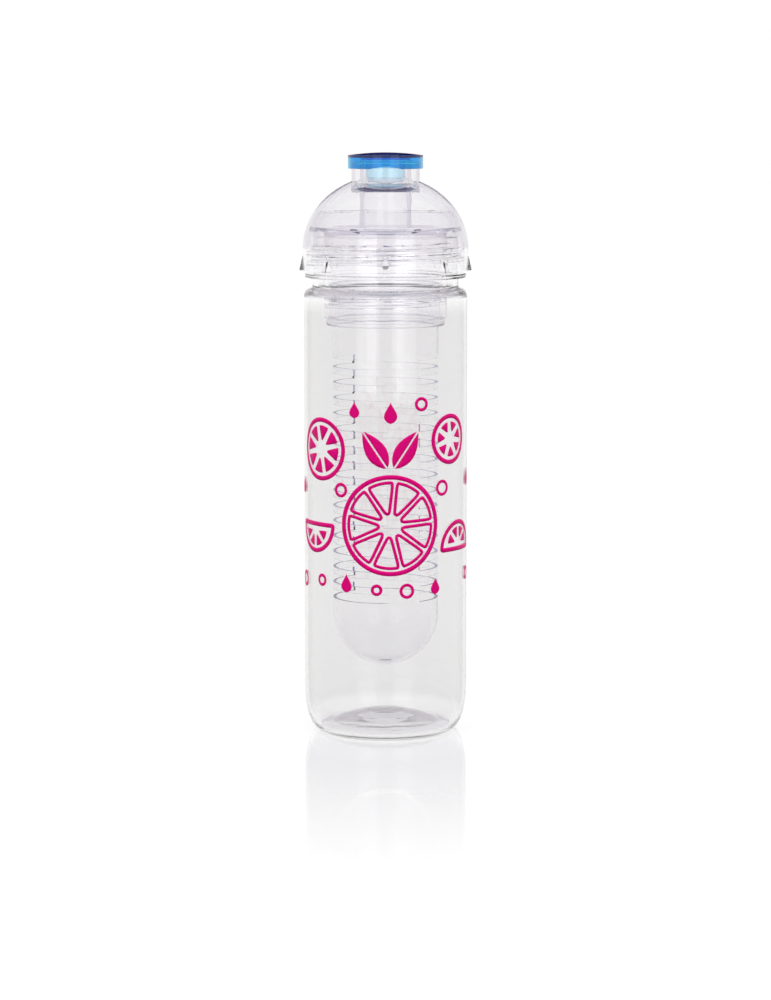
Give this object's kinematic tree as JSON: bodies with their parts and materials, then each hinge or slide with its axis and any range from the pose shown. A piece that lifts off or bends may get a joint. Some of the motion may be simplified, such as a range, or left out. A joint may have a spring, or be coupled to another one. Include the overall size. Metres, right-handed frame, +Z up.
{
  "type": "infuser water bottle",
  "caption": "Clear bottle with a domed screw lid, a slotted fruit infuser hanging inside it and a blue plug in the spout.",
  "frame": {"origin": "centre of the foot ring, on the table", "axes": "+Z up along the bottle's axis, -Y towards the viewer of the picture, +X to its right"},
  "size_m": [0.0688, 0.0688, 0.231],
  "materials": {
    "bottle_clear": "polished clear moulding",
    "lid_clear": "polished clear moulding",
    "core_clear": "clear moulding with a faint cool tint",
    "infuser_clear": "polished clear moulding",
    "plug_blue": "translucent blue moulding",
    "silicone": "frosted translucent silicone",
    "print_ink": "screen-printed magenta ink on the bottle's wall"
  },
  "bodies": {
    "bottle": {"bottle_body": "bottle_clear"},
    "neck_seal": {"neck_gasket": "silicone"},
    "lid": {"lid_dome": "lid_clear", "lid_core": "core_clear"},
    "holder_seal": {"infuser_gasket": "silicone"},
    "infuser": {"infuser_basket": "infuser_clear"},
    "plug": {"spout_plug": "plug_blue", "plug_seal": "silicone"}
  },
  "joints": [
    {"name": "lid_lift", "type": "slide", "parent": "bottle", "child": "neck_seal", "axis": [0, 0, 1], "range_m": [0, 0.01401]},
    {"name": "lid_turn", "type": "hinge", "parent": "neck_seal", "child": "lid", "pos_m": [0, 0, 0.19], "axis": [0, 0, 1], "range_deg": [0, 1260]},
    {"name": "infuser_drop", "type": "slide", "parent": "lid", "child": "holder_seal", "axis": [0, 0, -1], "range_m": [0, 0.01441]},
    {"name": "infuser_turn", "type": "hinge", "parent": "holder_seal", "child": "infuser", "pos_m": [0, 0, 0.17], "axis": [0, 0, -1], "range_deg": [0, 1728]},
    {"name": "plug_pull", "type": "slide", "parent": "lid", "child": "plug", "axis": [0, 0, 1], "range_m": [0, 0.014]}
  ],
  "couplings": [
    {"joint": "lid_lift", "follows": "lid_turn", "m_per_rad": 0.00063662},
    {"joint": "infuser_drop", "follows": "infuser_turn", "m_per_rad": 0.00047746}
  ]
}
